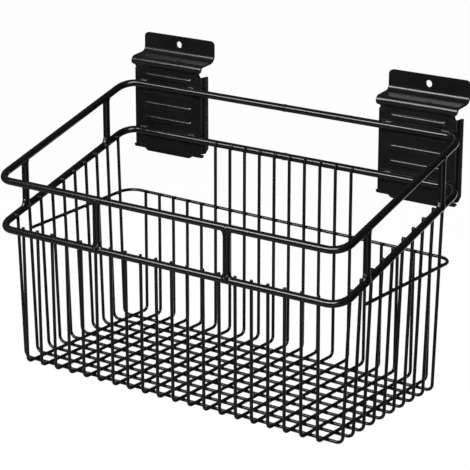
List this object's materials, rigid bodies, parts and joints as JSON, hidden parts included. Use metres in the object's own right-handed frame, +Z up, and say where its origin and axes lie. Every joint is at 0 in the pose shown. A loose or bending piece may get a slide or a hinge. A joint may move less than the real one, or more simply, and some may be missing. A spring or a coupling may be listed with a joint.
{
  "type": "slatwall basket",
  "caption": "Wire basket with two sloping rod rims over a cage of thin bent wires, hung on slatwall by two stamped sheet-metal hook brackets.",
  "frame": {"origin": "midway between the two brackets, on the plane of the slat's front face, level with the slat edge that the brackets' lips sit on", "axes": "+X along the wall to the right as seen from the front, +Y into the wall, +Z up"},
  "size_m": [0.3052, 0.1746, 0.225],
  "materials": {
    "rod_coat": "glossy black powder coat",
    "wire_coat": "glossy black powder coat",
    "bracket_coat": "semi-gloss black powder coat"
  },
  "bodies": {
    "root": {"upper_rim": "rod_coat", "lower_rim": "rod_coat", "post_left_front": "rod_coat", "post_left_back": "rod_coat", "post_right_front": "rod_coat", "post_right_back": "rod_coat", "post_front_left": "rod_coat", "post_front_right": "rod_coat", "long_wire_01": "wire_coat", "long_wire_02": "wire_coat", "long_wire_03": "wire_coat", "long_wire_04": "wire_coat", "long_wire_05": "wire_coat", "long_wire_06": "wire_coat", "long_wire_07": "wire_coat", "long_wire_08": "wire_coat", "long_wire_09": "wire_coat", "long_wire_10": "wire_coat", "long_wire_11": "wire_coat", "long_wire_12": "wire_coat", "long_wire_13": "wire_coat", "long_wire_14": "wire_coat", "long_wire_15": "wire_coat", "long_wire_16": "wire_coat", "long_wire_17": "wire_coat", "long_wire_18": "wire_coat", "long_wire_19": "wire_coat", "long_wire_20": "wire_coat", "cross_wire_01": "wire_coat", "cross_wire_02": "wire_coat", "cross_wire_03": "wire_coat", "cross_wire_04": "wire_coat", "cross_wire_05": "wire_coat", "cross_wire_06": "wire_coat", "cross_wire_07": "wire_coat", "cross_wire_08": "wire_coat", "cross_wire_09": "wire_coat", "cross_wire_10": "wire_coat", "band_wire": "wire_coat", "bracket_left": "bracket_coat", "bracket_right": "bracket_coat"}
  },
  "joints": []
}
